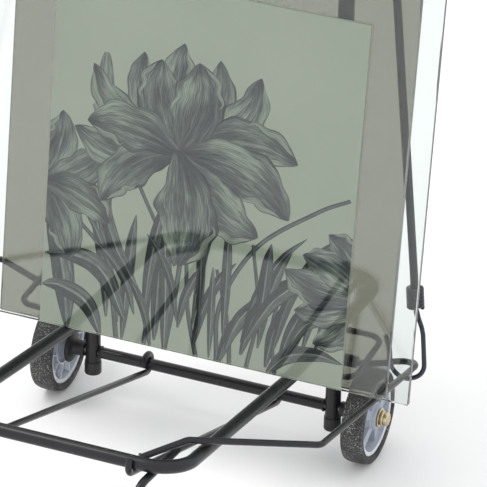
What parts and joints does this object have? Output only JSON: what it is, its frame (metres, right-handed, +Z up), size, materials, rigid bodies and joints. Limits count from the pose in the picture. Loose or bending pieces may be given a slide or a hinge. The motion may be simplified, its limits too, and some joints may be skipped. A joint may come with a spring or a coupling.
{
  "type": "folding shopping trolley",
  "caption": "Folding steel hand trolley on two wheels with a raised wire platform, telescoping handle and hooked elastic cord, holding a leaning stack of glass and printed sheets.",
  "frame": {"origin": "bottom centre of the whole trolley's box, on the floor", "axes": "+Z up, -Y forward over the platform, +Y back past the uprights, +X from the left wheel to the right wheel"},
  "size_m": [0.531, 0.4692, 1.0038],
  "materials": {
    "black_steel": "satin black powder coat",
    "black_plastic": "matte moulded",
    "bright_steel": "brushed",
    "brass": "dull yellow plating",
    "tyre_rubber": "dusty",
    "hub_plastic": "moulded grey",
    "bush_nylon": "natural nylon",
    "foot_rubber": "matte",
    "grip_rubber": "ribbed soft grip",
    "button_plastic": "moulded grey",
    "hook_steel": "glossy blue-black dip",
    "cord_braid": "woven sheath",
    "clear_glass": "polished, green at its edges",
    "tinted_glass": "bronze-grey tint, polished",
    "printed_board": "green ground with a dark lily drawing"
  },
  "bodies": {
    "root": {"left_upright": "black_steel", "right_upright": "black_steel", "left_upright_cap": "black_plastic", "right_upright_cap": "black_plastic", "left_collar": "black_plastic", "right_collar": "black_plastic", "axle_tube": "black_steel", "axle_rod": "bright_steel", "top_cross_tube": "black_steel", "left_wheel_flange": "black_plastic", "right_wheel_flange": "black_plastic", "left_washer": "brass", "right_washer": "brass", "left_domed_nut": "brass", "right_domed_nut": "brass", "platform_tube": "black_steel", "left_arm_bolt": "bright_steel", "right_arm_bolt": "bright_steel", "left_wing_sleeve": "black_plastic", "right_wing_sleeve": "black_plastic", "left_wing_wire": "black_steel", "right_wing_wire": "black_steel", "left_stay": "black_steel", "right_stay": "black_steel", "rear_loop": "black_steel", "front_stand": "black_steel", "left_foot": "foot_rubber", "right_foot": "foot_rubber", "clear_pane": "clear_glass", "print_panel": "printed_board", "tinted_pane": "tinted_glass", "right_hook": "hook_steel", "left_hook": "hook_steel", "right_hook_coil": "hook_steel", "left_hook_coil": "hook_steel", "elastic_cord": "cord_braid"},
    "wheel_left": {"left_tyre": "tyre_rubber", "left_hub": "hub_plastic", "left_bush": "bush_nylon"},
    "wheel_right": {"right_tyre": "tyre_rubber", "right_hub": "hub_plastic", "right_bush": "bush_nylon"},
    "handle": {"left_handle_tube": "bright_steel", "right_handle_tube": "bright_steel", "handle_housing": "black_plastic", "left_grip": "grip_rubber", "right_grip": "grip_rubber"},
    "button": {"release_button": "button_plastic"}
  },
  "joints": [
    {"name": "wheel_left_spin", "type": "hinge", "parent": "root", "child": "wheel_left", "pos_m": [0.0171, 0.1669, 0.05], "axis": [1, 0, 0], "continuous": true},
    {"name": "wheel_right_spin", "type": "hinge", "parent": "root", "child": "wheel_right", "pos_m": [0.0171, 0.1669, 0.05], "axis": [1, 0, 0], "continuous": true},
    {"name": "handle_slide", "type": "slide", "parent": "root", "child": "handle", "axis": [0, 0.0558, 0.9984], "range_m": [-0.115, 0]},
    {"name": "button_press", "type": "slide", "parent": "handle", "child": "button", "axis": [0, -0.0558, -0.9984], "range_m": [0, 0.004], "stiffness_N_per_m": 400, "springref_m": -0.002}
  ]
}
